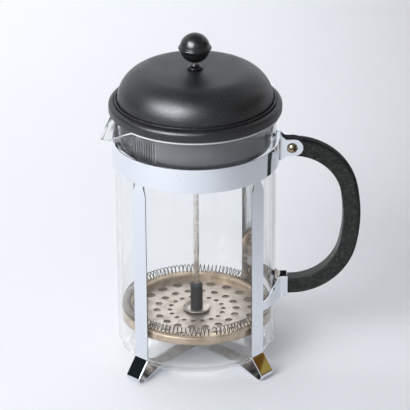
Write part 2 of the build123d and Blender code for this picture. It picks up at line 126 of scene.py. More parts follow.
class Finish:  # one material or world, built node by node
    def __init__(self, owner):
        owner.use_nodes = True
        self.owner = owner
        self.tree = owner.node_tree
        self.shader = self.find("BSDF_PRINCIPLED", "BACKGROUND")
        self.output = self.find("OUTPUT_MATERIAL", "OUTPUT_WORLD")

    def find(self, *kinds):
        return next(node for node in self.tree.nodes if node.type in kinds)

    def node(self, kind, inputs=None, settings=None, out=0):
        node = self.tree.nodes.new("ShaderNode" + kind)
        for key, value in (settings or {}).items():
            setattr(node, key, value)
        for key, value in (inputs or {}).items():
            plug(self.tree, node.inputs[key], value)
        return Wire(self.tree, node.outputs[out])

    def coords(self):
        return self.node("TexCoord", out="Object")

    def axis(self, number, vector=None):
        return self.node("SeparateXYZ", {0: vector or self.coords()}, out=number)

    def reach(self):  # distance from the beaker's axis
        flat = self.node("VectorMath", {0: self.coords(), 1: (1, 1, 0)}, {"operation": "MULTIPLY"})
        return self.length(flat)

    def length(self, vector):
        return self.node("VectorMath", {0: vector}, {"operation": "LENGTH"}, out="Value")

    def absolute(self, value):
        return self.node("Math", {0: value}, {"operation": "ABSOLUTE"})

    def attribute(self, name):
        return self.node("Attribute", settings={"attribute_name": name}, out="Fac")

    def ray(self, kind):
        return self.node("LightPath", out=kind)

    def noise(self, scale, detail=2.0, vector=None, rough=0.5):
        inputs = {"Vector": vector or self.coords(), "Scale": scale, "Detail": detail, "Roughness": rough}
        return self.node("TexNoise", inputs)

    def fade(self, value, low, high, toLow=0.0, toHigh=1.0):
        inputs = {"Value": value, "From Min": low, "From Max": high, "To Min": toLow, "To Max": toHigh}
        return self.node("MapRange", inputs, {"interpolation_type": "SMOOTHSTEP", "clamp": True})

    def span(self, value, places):  # from 0 to 1 between two places in mm
        return self.fade(value, places[0] * mm, places[1] * mm)

    def blend(self, share, first, second):
        return self.node("Mix", {"Factor": share, 6: first, 7: second}, {"data_type": "RGBA"}, out=2)

    def bump(self, height, strength, distance):
        return self.node("Bump", {"Height": height, "Strength": strength, "Distance": distance})

    def set(self, **sockets):
        for key, value in sockets.items():
            name = re.sub("(?<=[a-z])(?=[A-Z])|(?<=[A-Z])(?=[A-Z][a-z])", " ", key)
            plug(self.tree, self.shader.inputs[name], value)


def newFinish(name):
    return Finish(bpy.data.materials.new(name))


# Finishes: colours, noise scales per metre, bumps as strength and distance, places in mm
patches = (0.3, 0.7)  # the range of noise that counts
chromeLook = {
    "clean": (0.82, 0.85, 0.895),
    "speck": (0.40, 0.41, 0.44),
    "speckScale": 170.0,
    "speckSize": (0.10, 0.06),
    "speckShare": 0.5,
    "speckRoughness": 0.15,
    "smudgeScale": 45,
    "smudges": (0.45, 0.75),
    "roughness": (0.012, 0.07),
    "waveScale": 26,
    "waveBump": (0.10, 0.003),
}


def chromeFinish():
    c = chromeLook
    f = newFinish("polishedChrome")
    specks = f.node("TexVoronoi", {"Vector": f.coords(), "Scale": c["speckScale"]}, {"feature": "F1"})
    speckMask = f.fade(specks, *c["speckSize"])
    smudge = f.fade(f.noise(c["smudgeScale"], 3), *c["smudges"], *c["roughness"])
    f.set(
        BaseColor=f.blend(speckMask * c["speckShare"], c["clean"], c["speck"]),
        Metallic=1.0,
        Roughness=smudge + speckMask * c["speckRoughness"],
        Normal=f.bump(f.noise(c["waveScale"], 1), *c["waveBump"]),
    )
    return f.owner


tarnishLook = {
    "line": (126.0, 112.0),
    "streakScale": 160,
    "streakStretch": (1.0, 1.0, 0.25),
    "streaks": (0.38, 0.62),
    "streakShare": (0.15, 1.0),
    "streakBump": (0.12, 0.0006),
    "cleanRoughness": 0.05,
    "film": (0.74, 0.72, 0.69),
    "filmHeight": (12.0, 10.0),
    "filmReach": (50.0, 46.0),
    "filmStreaks": (0.36, 0.60),
    "filmShare": (0.55, 1.0),
    "filmMatt": 0.75,
    # foot: the darker tone painted on the feet, painted shade
    "foot": (0.34, 0.33, 0.32),
    "footHeight": (18.0, 14.0),
    "footReach": (50.0, 54.0),
    "footShadeShare": 0.8,
}


def dullChromeFinish(name, clean, tarnished, roughness):
    # the plating dulls low down, where the coffee is hot and drips run
    t = tarnishLook
    f = newFinish(name)
    runs = f.node("Mapping", {"Vector": f.coords(), "Scale": t["streakStretch"]})
    streaks = f.noise(t["streakScale"], 3, vector=runs, rough=0.6)
    height = f.axis(2)
    reach = f.reach()
    share = f.span(height, t["line"]) * f.fade(streaks, *t["streaks"], *t["streakShare"])
    # a matt film covers the run under the beaker, and the feet are painted darker behind, as painted shade
    film = f.span(height, t["filmHeight"]) * f.span(reach, t["filmReach"])
    film = film * f.fade(streaks, *t["filmStreaks"], *t["filmShare"])
    foot = f.span(height, t["footHeight"]) * f.span(reach, t["footReach"])
    worn = f.blend(foot * t["footShadeShare"], f.blend(share, clean, tarnished), t["foot"])
    f.set(
        BaseColor=f.blend(film, worn, t["film"]),
        Metallic=1 - film * t["filmMatt"],
        Roughness=f.fade(share, 0.0, 1.0, t["cleanRoughness"], roughness),
        Normal=f.bump(streaks, *t["streakBump"]),
    )
    return f.owner


lidLook = {
    "black": (0.012, 0.0125, 0.0135),
    "dust": (0.068, 0.07, 0.077),
    "dustScale": 800,
    "dustPatches": (0.54, 0.72),
    "dustShare": 0.6,
    "grainScale": 1500,
    "grainBump": (0.30, 0.0004),
    "roughScale": 60,
    "roughness": (0.34, 0.42),
    "haze": ((0.075, 0.079, 0.086), (0.095, 0.099, 0.106)),
    "hazeScale": 40,
    "hazeTop": (194.5, 193.5),
    # below this foot and inside this reach the skirt stays black, as painted shade
    "paintedShadeFoot": (172.5, 174.5),
    "insideShadeReach": (53.4, 53.9),
    "spoutSide": (-15.0, -45.0),
    "shadeLineLift": 2.8,
}


def lidFinish():
    c = lidLook
    f = newFinish("satinBlackLid")
    dustMask = f.fade(f.noise(c["dustScale"], 2, rough=0.7), *c["dustPatches"])
    plain = f.blend(dustMask * c["dustShare"], c["black"], c["dust"])
    # the outside of the skirt has a pale haze; along its lower edge, in the band's shadow, and on its inner
    # side it is left black as painted shade
    height = f.axis(2)
    # the painted shade along the lower edge rises towards the spout side
    lift = f.span(f.axis(0), c["spoutSide"]) * (c["shadeLineLift"] * mm)
    hazeNotShaded = f.span(height, c["hazeTop"]) * f.span(height - lift, c["paintedShadeFoot"])
    hazeNotShaded = hazeNotShaded * f.span(f.reach(), c["insideShadeReach"])
    haze = f.blend(f.fade(f.noise(c["hazeScale"], 3), *patches), *c["haze"])
    f.set(
        BaseColor=f.blend(hazeNotShaded, plain, haze),
        Roughness=f.fade(f.noise(c["roughScale"], 3), *patches, *c["roughness"]),
        Normal=f.bump(f.noise(c["grainScale"], 2), *c["grainBump"]),
    )
    return f.owner


knobLook = {
    "black": (0.012, 0.0125, 0.013),
    "worn": (0.024, 0.025, 0.026),
    "wornScale": 320,
    "wornPatches": (0.55, 0.75),
    "roughScale": 110,
    "roughness": (0.26, 0.33),
    "grainScale": 1800,
    "grainBump": (0.10, 0.0003),
}


def knobFinish():
    c = knobLook
    f = newFinish("glossBlackKnob")
    worn = f.fade(f.noise(c["wornScale"], 3), *c["wornPatches"])
    f.set(
        BaseColor=f.blend(worn, c["black"], c["worn"]),
        Roughness=f.fade(f.noise(c["roughScale"], 2), *patches, *c["roughness"]),
        Normal=f.bump(f.noise(c["grainScale"], 2), *c["grainBump"]),
    )
    return f.owner


handleLook = {
    # back: the near black painted on the rounded back, a painted dark reflection
    "back": (0.008, 0.0085, 0.0095),
    "mottle": ((0.019, 0.0205, 0.0205), (0.027, 0.030, 0.0255)),
    "mottleScale": 150,
    "mottlePatches": (0.42, 0.60),
    "pale": (0.072, 0.077, 0.073),
    "paleScale": 620,
    "palePatches": (0.48, 0.66),
    "paleShare": 0.6,
    "sides": (4.0, 5.4),
    "roughness": (0.42, 0.54),
    "backRoughness": 0.2,
    "innerPolish": 0.1,
    "gloss": 0.16,
    "grainScale": 1500,
    "grainBump": (0.25, 0.0004),
}


def handleFinish():
    c = handleLook
    f = newFinish("blackHandleWithShadedBack")
    mottle = f.fade(f.noise(c["mottleScale"], 5, rough=0.7), *c["mottlePatches"])
    pale = f.fade(f.noise(c["paleScale"], 4, rough=0.65), *c["palePatches"])
    grip = f.blend(pale * c["paleShare"], f.blend(mottle, *c["mottle"]), c["pale"])
    # the flat sides and the inner face show the worn, mottled grip; the rounded back is painted near black,
    # a painted dark reflection
    inner = f.attribute("inner")
    unshadedGrip = 1 - (1 - f.span(f.absolute(f.axis(1)), c["sides"])) * (1 - inner)
    rough = f.fade(mottle, 0.0, 1.0, *c["roughness"])
    f.set(
        BaseColor=f.blend(unshadedGrip, c["back"], grip),
        Roughness=rough + (1 - unshadedGrip) * c["backRoughness"] - inner * c["innerPolish"],
        SpecularIORLevel=c["gloss"],
        Normal=f.bump(f.noise(c["grainScale"], 3), *c["grainBump"]),
    )
    return f.owner


glassLook = {
    "tint": (0.993, 0.998, 0.996),
    "index": 1.31,
    "shadow": (0.993, 0.996, 0.996),
    # the white of the painted highlight on the bead
    "paintedHighlight": (0.95, 0.96, 0.96),
}


def glassFinish():
    c = glassLook
    f = newFinish("clearGlass")
    # the spout and the heel are drawn so thin that they hardly show
    f.set(
        BaseColor=c["tint"],
        Roughness=0.0,
        TransmissionWeight=1.0,
        IOR=c["index"],
        Alpha=1 - f.attribute("drawn"),
    )
    # a white diffuse share on the fire-polished bead paints its highlight as one thin line
    white = f.node("BsdfDiffuse", {"Color": c["paintedHighlight"]})
    lined = f.node("MixShader", {0: f.attribute("paintedHighlight"), 1: Wire(f.tree, f.shader.outputs[0]), 2: white})
    clear = f.node("BsdfTransparent", {"Color": c["shadow"]})
    mixed = f.node("MixShader", {0: f.ray("Is Shadow Ray"), 1: lined, 2: clear})
    plug(f.tree, f.output.inputs["Surface"], mixed)
    return f.owner


steelLook = {
    "grainScale": 1400,
    "grainBump": (0.05, 0.0003),
    "stains": (0.40, 0.72),
    "roughStains": (0.35, 0.7),
    "stainRoughness": 0.14,
    "tideShare": 0.5,
    "rimFade": 1.5,
}


def steelFinish(name, clean, stained, roughness, stainScale, rim=None, tide=None, metallic=1.0):
    # rim is (radius, clean, stained) for the browner edge of the filter, tide the height of the stain
    c = steelLook
    f = newFinish(name)
    stain = f.noise(stainScale, 4, rough=0.6)
    share = f.fade(stain, *c["stains"])
    if tide:
        soaked = 1 - f.span(f.axis(2), tide)
        share = share * (1 - c["tideShare"]) + soaked * c["tideShare"]
    colour = f.blend(share, clean, stained)
    if rim:
        edge = f.span(f.reach(), (rim[0] - c["rimFade"], rim[0]))
        colour = f.blend(edge, colour, f.blend(share, rim[1], rim[2]))
    f.set(
        BaseColor=colour,
        Metallic=metallic,
        Roughness=f.fade(stain, *c["roughStains"], roughness, roughness + c["stainRoughness"]),
        Normal=f.bump(f.noise(c["grainScale"], 2), *c["grainBump"]),
    )
    return f.owner


screwLook = {
    "bright": (0.70, 0.60, 0.43),
    "stained": (0.30, 0.22, 0.12),
    "stainScale": 500,
    "stains": (0.35, 0.65),
    # the dark colour painted into the cross recess, as painted shade
    "recessShade": (0.035, 0.026, 0.016),
    "axis": (71.1, 164.2),
    "barLength": (2.5, 2.3),
    "barWidth": (0.75, 0.55),
    "roughness": (0.16, 0.30),
}


def screwFinish():
    c = screwLook
    f = newFinish("nickelScrew")
    stain = f.noise(c["stainScale"], 4, rough=0.6)
    metal = f.blend(f.fade(stain, *c["stains"]), c["bright"], c["stained"])
    # the cross of the head is painted dark, as painted shade in the recess
    across, upward = (f.absolute(f.axis(k) - place * mm) for k, place in zip((0, 2), c["axis"]))
    level = f.span(across, c["barLength"]) * f.span(upward, c["barWidth"])
    upright = f.span(upward, c["barLength"]) * f.span(across, c["barWidth"])
    f.set(
        BaseColor=f.blend(1 - (1 - level) * (1 - upright), metal, c["recessShade"]),
        Metallic=1.0,
        Roughness=f.fade(stain, *steelLook["roughStains"], *c["roughness"]),
        Normal=f.bump(f.noise(steelLook["grainScale"], 2), *steelLook["grainBump"]),
    )
    return f.owner


meshLook = {
    "gap": (0.15, 0.125, 0.10),
    "wire": (0.36, 0.315, 0.26),
    "wireScale": 480.0,
    "wireShare": (0.1, 0.6),
    "metal": 0.7,
    "roughness": 0.48,
    "weaveBump": (0.6, 0.0003),
}


def meshFinish():
    c = meshLook
    f = newFinish("wovenMesh")
    threads = {"Vector": f.coords(), "Scale": c["wireScale"]}
    warp, weft = (f.node("TexWave", threads, {"wave_profile": "SIN", "bands_direction": k}) for k in "XY")
    cloth = warp * weft
    f.set(
        BaseColor=f.blend(f.fade(cloth, *c["wireShare"]), c["gap"], c["wire"]),
        Metallic=c["metal"],
        Roughness=c["roughness"],
        Normal=f.bump(cloth, *c["weaveBump"]),
    )
    return f.owner


sleeveLook = {
    "black": (0.009, 0.009, 0.0095),
    "scuffed": (0.019, 0.019, 0.0195),
    "scuffScale": 400,
    "scuffs": (0.4, 0.7),
    "grainScale": 1600,
    "grainBump": (0.15, 0.0003),
    "roughness": (0.46, 0.56),
}


def sleeveFinish():
    c = sleeveLook
    f = newFinish("darkSleeve")
    grain = f.noise(c["grainScale"], 2)
    scuffs = f.fade(f.noise(c["scuffScale"], 3), *c["scuffs"])
    f.set(
        BaseColor=f.blend(scuffs, c["black"], c["scuffed"]),
        Roughness=f.fade(grain, *patches, *c["roughness"]),
        Normal=f.bump(grain, *c["grainBump"]),
    )
    return f.owner


brownRim = (48.0, (0.52, 0.42, 0.32), (0.36, 0.275, 0.19))
filterSteel = ((0.42, 0.37, 0.335), (0.34, 0.285, 0.24), 0.34, 120)
rodSteel = ((0.93, 0.92, 0.89), (0.56, 0.47, 0.38), 0.24, 220)
# the spring wire's tones are dark, painted shade between its close loops
springSteel = ((0.20, 0.187, 0.172), (0.085, 0.073, 0.06), 0.15, 240)
insertBrass = ((0.78, 0.62, 0.34), (0.60, 0.45, 0.22), 0.25, 300)
finishes = {  # by the record's material slots
    "chrome": chromeFinish(),
    "handle_plastic": handleFinish(),
    "screw_metal": screwFinish(),
    "glass": glassFinish(),
    "lid_plastic": lidFinish(),
    "knob_plastic": knobFinish(),
    "insert_brass": steelFinish("turnedBrass", *insertBrass),
    "steel": steelFinish("coffeeStainedSteel", *filterSteel, rim=brownRim, metallic=0.8),
    "mesh_steel": meshFinish(),
    "sleeve_plastic": sleeveFinish(),
}
ownFinish = {  # nodes that differ from their slot
    "plunger_rod": steelFinish("rodSteel", *rodSteel, tide=(60, 140)),
    "spring_coil": steelFinish("springWire", *springSteel),
}
strapInside = dullChromeFinish("tarnishedChrome", (0.70, 0.72, 0.75), (0.60, 0.58, 0.56), 0.10)
# the strap's thin side faces are painted darker, as painted shade along the strap's edges
strapSideShade = dullChromeFinish("shadedStrapSide", (0.42, 0.43, 0.45), (0.40, 0.41, 0.43), 0.22)
print("finishes made")


# Modelling helpers
def deselectAll():
    if bpy.context.mode != "OBJECT":
        bpy.ops.object.mode_set(mode="OBJECT")
    bpy.ops.object.select_all(action="DESELECT")


def makeActive(piece):
    deselectAll()
    piece.select_set(True)
    bpy.context.view_layer.objects.active = piece


def arc(centre, radius, start, stop, steps):
    angles = [math.radians(start + (stop - start) * k / steps) for k in range(steps + 1)]
    return [(centre[0] + radius * math.cos(a), centre[1] + radius * math.sin(a)) for a in angles]


def roundedLine(corners, closed=False, stepAngle=9):
    # a corner is (x, y), or (x, y, radius) where an arc rounds it
    line = []
    for k, corner in enumerate(corners):
        here = Vector(corner[:2])
        if len(corner) == 2:
            line.append(tuple(here))
            continue
        before = (Vector(corners[k - 1][:2]) - here).normalized()
        after = (Vector(corners[(k + 1) % len(corners)][:2]) - here).normalized()
        half = before.angle(after) / 2
        centre = here + (before + after).normalized() * corner[2] / math.sin(half)
        first = here + before * corner[2] / math.tan(half) - centre
        last = here + after * corner[2] / math.tan(half) - centre
        turn = math.atan2(first.cross(last), first.dot(last))
        start = math.degrees(math.atan2(first.y, first.x))
        steps = max(2, math.ceil(math.degrees(abs(turn)) / stepAngle))
        line += arc(centre, corner[2], start, start + math.degrees(turn), steps)
    if closed:
        line.append(line[0])
    return line


def drawChain(name, points):
    # a small plane is merged to one vertex, which is pulled from point to point
    deselectAll()
    bpy.ops.mesh.primitive_plane_add(size=mm)
    piece = bpy.context.active_object
    piece.name = name
    piece.data.name = name
    bpy.ops.object.mode_set(mode="EDIT")
    bpy.ops.mesh.select_mode(type="VERT")
    bpy.ops.mesh.merge(type="CENTER")
    bpy.ops.transform.translate(value=points[0])
    for last, point in zip(points, points[1:]):
        bpy.ops.mesh.extrude_region_move(TRANSFORM_OT_translate={"value": point - last})
    bpy.ops.mesh.select_all(action="SELECT")
    bpy.ops.mesh.remove_doubles(threshold=1e-7)
    return piece


def pull(x=0, y=0, z=0):
    bpy.ops.mesh.extrude_region_move(TRANSFORM_OT_translate={"value": (x * mm, y * mm, z * mm)})


def faceOutwards():
    bpy.ops.mesh.select_all(action="SELECT")
    bpy.ops.mesh.normals_make_consistent(inside=False)


def closeUp(sharp=35):
    bpy.ops.mesh.select_all(action="SELECT")
    bpy.ops.mesh.remove_doubles(threshold=1e-6)
    faceOutwards()
    bpy.ops.object.mode_set(mode="OBJECT")
    bpy.ops.object.shade_smooth_by_angle(angle=math.radians(sharp))


def turnPiece(name, line, steps=128, sharp=35):
    # an outline in radius and height, spun round the beaker's axis
    piece = drawChain(name, [Vector((r, 0, z)) * mm for r, z in line])
    bpy.ops.mesh.spin(steps=steps, angle=2 * math.pi, center=(0, 0, 0), axis=(0, 0, 1))
    closeUp(sharp)
    return piece


def startPicking(kind):
    bpy.ops.object.mode_set(mode="EDIT")
    bpy.ops.mesh.select_mode(type=kind)
    bpy.ops.mesh.select_all(action="DESELECT")
    bpy.ops.object.mode_set(mode="OBJECT")


def pick(piece, test):
    # selects the vertices that pass the test, in edit mode
    startPicking("VERT")
    for vertex in piece.data.vertices:
        vertex.select = test(vertex.co / mm)
    bpy.ops.object.mode_set(mode="EDIT")


def pickFaces(piece, test):
    startPicking("FACE")
    for face in piece.data.polygons:
        face.select = test(face.center / mm)
    bpy.ops.object.mode_set(mode="EDIT")


def applyModifier(piece, kind, **settings):
    makeActive(piece)
    modifier = piece.modifiers.new(kind.lower(), kind)
    for key, value in settings.items():
        setattr(modifier, key, value)
    bpy.ops.object.modifier_apply(modifier=modifier.name)


def evenShade(piece):
    # flat faces keep their own normals where they meet a bend
    applyModifier(piece, "WEIGHTED_NORMAL", keep_sharp=True, weight=60)


def thicken(piece, thickness, edge, offset=0.0):
    applyModifier(piece, "SOLIDIFY", thickness=thickness * mm, offset=offset, use_even_offset=True)
    softenEdges(piece, edge)


def softenEdges(piece, width, segments=2, limit=50):
    settings = {"limit_method": "ANGLE", "angle_limit": math.radians(limit)}
    applyModifier(piece, "BEVEL", width=width * mm, segments=segments, **settings)
    bpy.ops.object.shade_smooth_by_angle(angle=math.radians(35))
    evenShade(piece)


def dress(piece, node):
    piece.data.materials.clear()
    piece.data.materials.append(ownFinish.get(node) or finishes[slotOf[node]])


def fit(piece, node):
    # the piece takes the node's place, body and finish
    dress(piece, node)
    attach(piece, bodyOf[node])
    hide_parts(node)
    print("made", piece.name, "for", node, "with", len(piece.data.polygons), "faces")


# Beaker
beaker = {
    "radius": 58.0,
    "wall": 2.2,
    "bottom": 6.7,
    "floor": 3.0,
    "heel": 11.0,
    "rim": 194.0,
    "flare": 2.6,
    "flareHeight": 10.0,
    "bead": 1.8,
    "spoutFoot": 174.0,
    "spoutAngle": -158.0,
    "spoutHalfAngle": 18.0,
    "spoutTip": 75.9,
    "spoutDrop": 10.6,
    "spoutRound": 0.12,
    "spoutThin": 0.62,
    "spoutSwell": 1.25,
    "spoutDip": 1.5,
    "spoutClear": 0.85,
    "heelClear": 0.8,
    "heelShare": 0.8,
    # share and place of the painted highlight on the bead
    "paintedHighlight": 0.8,
    "highlightFrom": 0.2,
    "highlightTo": 0.65,
}


def beadCentre():
    return beaker["radius"] + beaker["flare"] - beaker["bead"], beaker["rim"] - beaker["bead"]


def flared(wall, tip, rows):
    # a wall that runs up straight and then out to the tip
    start = beaker["rim"] - beaker["flareHeight"]
    line = [(wall, z) for z in rows]
    for share in (k / 6 for k in range(1, 7)):
        line.append((wall + (tip[0] - wall) * share * share, start + (tip[1] - start) * share))
    return line


def beakerOutline():
    b = beaker
    inner = b["radius"] - b["wall"]
    floorTop = b["bottom"] + b["floor"]
    rows = [b["spoutFoot"] + k * 2.0 for k in range(-1, 6)]
    bead = arc(beadCentre(), b["bead"], -40, 200, 16)
    foot = [(0, b["bottom"]), (b["radius"], b["bottom"], b["heel"]), (b["radius"], rows[0])]
    inside = [(inner, rows[0]), (inner, floorTop, b["heel"] - b["wall"]), (0, floorTop)]
    line = roundedLine(foot)[:-1]
    line += flared(b["radius"], bead[0], rows)
    line += bead[1:-1]
    line += flared(inner, bead[-1], rows)[::-1]
    line += roundedLine(inside)[1:]
    return line


def drawSpout(piece):
    # the soft rim is drawn out and down into a straight-sided V over the spout's angle
    b = beaker
    rim = b["radius"] + b["flare"]
    half = math.radians(b["spoutHalfAngle"])
    beadRadius, beadHeight = beadCentre()

    def edge(angle):
        slant = b["spoutTip"] * math.sin(angle) + rim * math.sin(half - angle)
        return rim * b["spoutTip"] * math.sin(half) / slant

    nearest = edge(half * b["spoutRound"])
    drawnMark = piece.data.attributes["drawn"]
    for vertex in piece.data.vertices:
        x, y, z = vertex.co / mm
        rise = (z - b["spoutFoot"]) / (b["rim"] - b["spoutFoot"])
        aside = (math.degrees(math.atan2(y, x)) - b["spoutAngle"] + 180) % 360 - 180
        aside = abs(aside) / b["spoutHalfAngle"]
        if rise <= 0 or aside >= 1:
            continue
        share = max(edge(half * min(math.hypot(aside, b["spoutRound"]), 1)) - rim, 0) / (nearest - rim)
        radius = math.hypot(x, y)
        thin = 1 - b["spoutThin"] * share
        flat, tall = radius, z
        if z > beadHeight - b["bead"]:
            flat = beadRadius + (radius - beadRadius) * thin
            tall = beadHeight + (z - beadHeight) * thin
        else:
            drawnMark.data[vertex.index].value = b["spoutClear"] * min(share * 2, 1) * min(rise * 2, 1)
        drawn = flat + (b["spoutTip"] - rim) * share * rise ** b["spoutSwell"]
        vertex.co.x = x * drawn / radius * mm
        vertex.co.y = y * drawn / radius * mm
        vertex.co.z = (tall - b["spoutDrop"] * share * rise ** b["spoutDip"]) * mm


def markGlass(piece):
    # the heel hardly shows, and a painted highlight lies in a line on the bead just under the lid
    b = beaker
    beadRadius, beadHeight = beadCentre()
    for name in ("drawn", "paintedHighlight"):
        piece.data.attributes.new(name, "FLOAT", "POINT")
    clearMark, highlightMark = piece.data.attributes["drawn"], piece.data.attributes["paintedHighlight"]
    for vertex in piece.data.vertices:
        x, y, z = vertex.co / mm
        radius = math.hypot(x, y)
        if z < b["bottom"] + b["heel"] * b["heelShare"] and radius > b["radius"] - b["heel"]:
            clearMark.data[vertex.index].value = b["heelClear"]
        rise = (z - beadHeight) / b["bead"]
        if radius > beadRadius and b["highlightFrom"] < rise < b["highlightTo"]:
            highlightMark.data[vertex.index].value = b["paintedHighlight"]


def makeBeaker():
    piece = turnPiece("glassBeaker", beakerOutline(), steps=360, sharp=60)
    markGlass(piece)
    drawSpout(piece)
    fit(piece, "glass_beaker")


makeBeaker()


# Lid
lid = {
    "flangeBottom": 194.3,
    "flangeRadius": 62.2,
    "shelf": 201.4,
    "crest": 202.1,
    "edge": 3.4,
    "foot": 1.0,
    "grooveFloor": 200.9,
    "step": 203.6,
    "stepInner": 56.9,
    "stepOuter": 58.0,
    "domeRadius": 56.1,
    "domeWall": 2.4,
    "shoulder": 22.8,
    "shoulderHeight": 201.8,
    "crown": 635.0,
    "hole": 3.66,
    "skirtRadius": 53.2,
    "skirtWall": 1.6,
    "skirtBottom": 170.3,
    "combAngle": -158.0,
    "combHalfAngle": 33.6,
    "slots": 30,
    "slotWidth": 1.0,
    "slotBottom": 171.5,
    "slotTop": 190.8,
}


def makeDome():
    c = lid
    inset = c["domeRadius"] - c["shoulder"]
    drop = math.sqrt((c["crown"] - c["shoulder"]) ** 2 - inset ** 2)
    lean = math.degrees(math.atan2(drop, inset))
    crownCentre = (0, c["shoulderHeight"] - drop)
    shoulderCentre = (inset, c["shoulderHeight"])
    line = []
    for wall in (0, c["domeWall"]):
        crown = c["crown"] - wall
        holeAngle = math.degrees(math.acos(c["hole"] / crown))
        side = [(c["domeRadius"] - wall, c["shelf"])]
        side += arc(shoulderCentre, c["shoulder"] - wall, 0, lean, 22)
        side += arc(crownCentre, crown, lean, holeAngle, 8)[1:]
        line += side if wall == 0 else side[::-1]
    line.append(line[0])
    fit(turnPiece("lidDome", line, steps=160), "lid_dome")


def makeStrainer():
    c = lid
    inner = c["skirtRadius"] - c["skirtWall"] / 2
    brow = c["flangeRadius"] - c["edge"]
    flange = turnPiece("lidStrainer", roundedLine([
        (inner, c["flangeBottom"]),
        (c["flangeRadius"], c["flangeBottom"], c["foot"]),
        (c["flangeRadius"], c["crest"], c["edge"]),
        (brow, c["crest"], 0.3),
        (brow, c["grooveFloor"]),
        (c["stepOuter"], c["grooveFloor"]),
        (c["stepOuter"], c["step"], 0.25),
        (c["stepInner"], c["step"], 0.25),
        (c["stepInner"], c["shelf"]),
        (inner, c["shelf"]),
    ], closed=True), steps=160)
    # the skirt is a ring of upright strips; the slots are strips taken out of it
    pitch = 2 * c["combHalfAngle"] / (c["slots"] - 1)
    halfSlot = math.degrees(c["slotWidth"] / c["skirtRadius"]) / 2
    angles = []
    for k in range(c["slots"]):
        middle = c["combAngle"] - c["combHalfAngle"] + pitch * k
        angles += [middle - halfSlot, middle + halfSlot]
    plainSpan = angles[0] + 360 - angles[-1]
    angles += [angles[-1] + plainSpan * k / 90 for k in range(1, 91)]
    spots = []
    for turn in (math.radians(a) for a in angles):
        spots.append(Vector((math.cos(turn), math.sin(turn), 0)) * c["skirtRadius"])
    lift = Vector((0, 0, c["skirtBottom"]))
    skirt = drawChain("skirt", [(spot + lift) * mm for spot in spots])
    levels = [c["skirtBottom"], c["slotBottom"], c["slotTop"], c["flangeBottom"] + 1]
    for low, high in zip(levels, levels[1:]):
        pull(z=high - low)

    def inSlot(centre):
        aside = (math.degrees(math.atan2(centre.y, centre.x)) - angles[0] + 0.05) % 360
        within = aside < 2 * c["combHalfAngle"] + 2 * halfSlot and aside % pitch < 2 * halfSlot
        return within and c["slotBottom"] < centre.z < c["slotTop"]

    pickFaces(skirt, inSlot)
    bpy.ops.mesh.delete(type="FACE")
    faceOutwards()
    thicken(skirt, c["skirtWall"], 0.2)
    makeActive(flange)
    skirt.select_set(True)
    bpy.ops.object.join()
    fit(flange, "lid_strainer")


guide = {
    "bore": 2.08,
    "bottom": 212.3,
    "shank": 3.6,
    "headBottom": 225.7,
    "brim": 6.1,
    "neck": 3.2,
    "top": 229.0,
}


def makeGuide():
    g = guide
    line = roundedLine([
        (g["bore"], g["bottom"]),
        (g["shank"], g["bottom"], 0.4),
        (g["shank"], g["headBottom"]),
        (g["brim"] - 0.9, g["headBottom"], 0.3),
        (g["brim"], g["headBottom"] + 1.0, 0.5),
        (g["neck"], g["top"] - 0.6, 1.2),
        (g["neck"] - 0.3, g["top"], 0.3),
        (g["bore"], g["top"]),
    ], closed=True)
    fit(turnPiece("rodGuide", line, steps=64), "rod_guide")


makeDome()
makeStrainer()
makeGuide()


# Plunger
plunger = {
    "rodRadius": 2.0,
    "rodBottom": 26.5,
    "rodTop": 240.9,
    "knobRadius": 10.8,
    "knobCentre": 241.2,
    "beltRadius": 10.7,
    "beltEdge": 1.2,
    "sleeveRadius": 4.5,
    "sleeveBottom": 34.8,
    "sleeveTop": 55.8,
    "sleeveChamfer": 1.2,
    "washerBottom": 34.0,
    "washerFlat": 7.0,
    "washerRadius": 10.0,
    "washerRise": 1.6,
    "washerBend": 1.6,
    "washerWall": 0.8,
    "clearance": 0.02,
}


def makeKnob():
    p = plunger
    centre = (0, p["knobCentre"])
    hole = math.degrees(math.acos(p["rodRadius"] / p["knobRadius"]))
    seam = math.degrees(math.asin(p["beltEdge"] / p["knobRadius"])) + 1.5
    line = arc(centre, p["knobRadius"], -hole, -seam, 22)
    line += arc((p["beltRadius"], p["knobCentre"]), p["beltEdge"], -78, 78, 10)
    line += arc(centre, p["knobRadius"], seam, 90, 24)
    line += [(0, p["knobCentre"] - 1.0), (p["rodRadius"], p["knobCentre"] - 1.0), line[0]]
    fit(turnPiece("knobBall", line, steps=96, sharp=40), "knob")


def makeRod():
    p = plunger
    line = roundedLine([
        (0, p["rodBottom"]),
        (p["rodRadius"], p["rodBottom"], 0.4),
        (p["rodRadius"], p["rodTop"], 0.4),
        (0, p["rodTop"]),
    ])
    fit(turnPiece("plungerRod", line, steps=40), "plunger_rod")


def makeSleeve():
    p = plunger
    bore = p["rodRadius"] + p["clearance"]
    line = roundedLine([
        (bore, p["sleeveBottom"]),
        (p["sleeveRadius"], p["sleeveBottom"], 0.3),
        (p["sleeveRadius"], p["sleeveTop"] - p["sleeveChamfer"], 0.6),
        (p["sleeveRadius"] - p["sleeveChamfer"], p["sleeveTop"], 0.5),
        (bore, p["sleeveTop"]),
    ], closed=True)
    fit(turnPiece("rodSleeve", line, steps=64), "rod_sleeve")


def makeWasher():
    p = plunger
    middle = p["washerBottom"] + p["washerWall"] / 2
    line = roundedLine([
        (p["rodRadius"] + p["clearance"], middle),
        (p["washerFlat"], middle, p["washerBend"]),
        (p["washerRadius"], middle + p["washerRise"]),
    ])
    piece = turnPiece("cupWasher", line, steps=72)
    thicken(piece, p["washerWall"], 0.2)
    fit(piece, "cup_washer")


makeKnob()
makeRod()
makeSleeve()
makeWasher()


# Coil spring round the filter
coil = {
    "turns": 108,
    "wire": 0.35,
    "loop": 2.95,
    "ringRadius": 52.0,
    "height": 42.1,
    "start": 8.0,
    "gap": 3.0,
    "stray": 0.45,
}


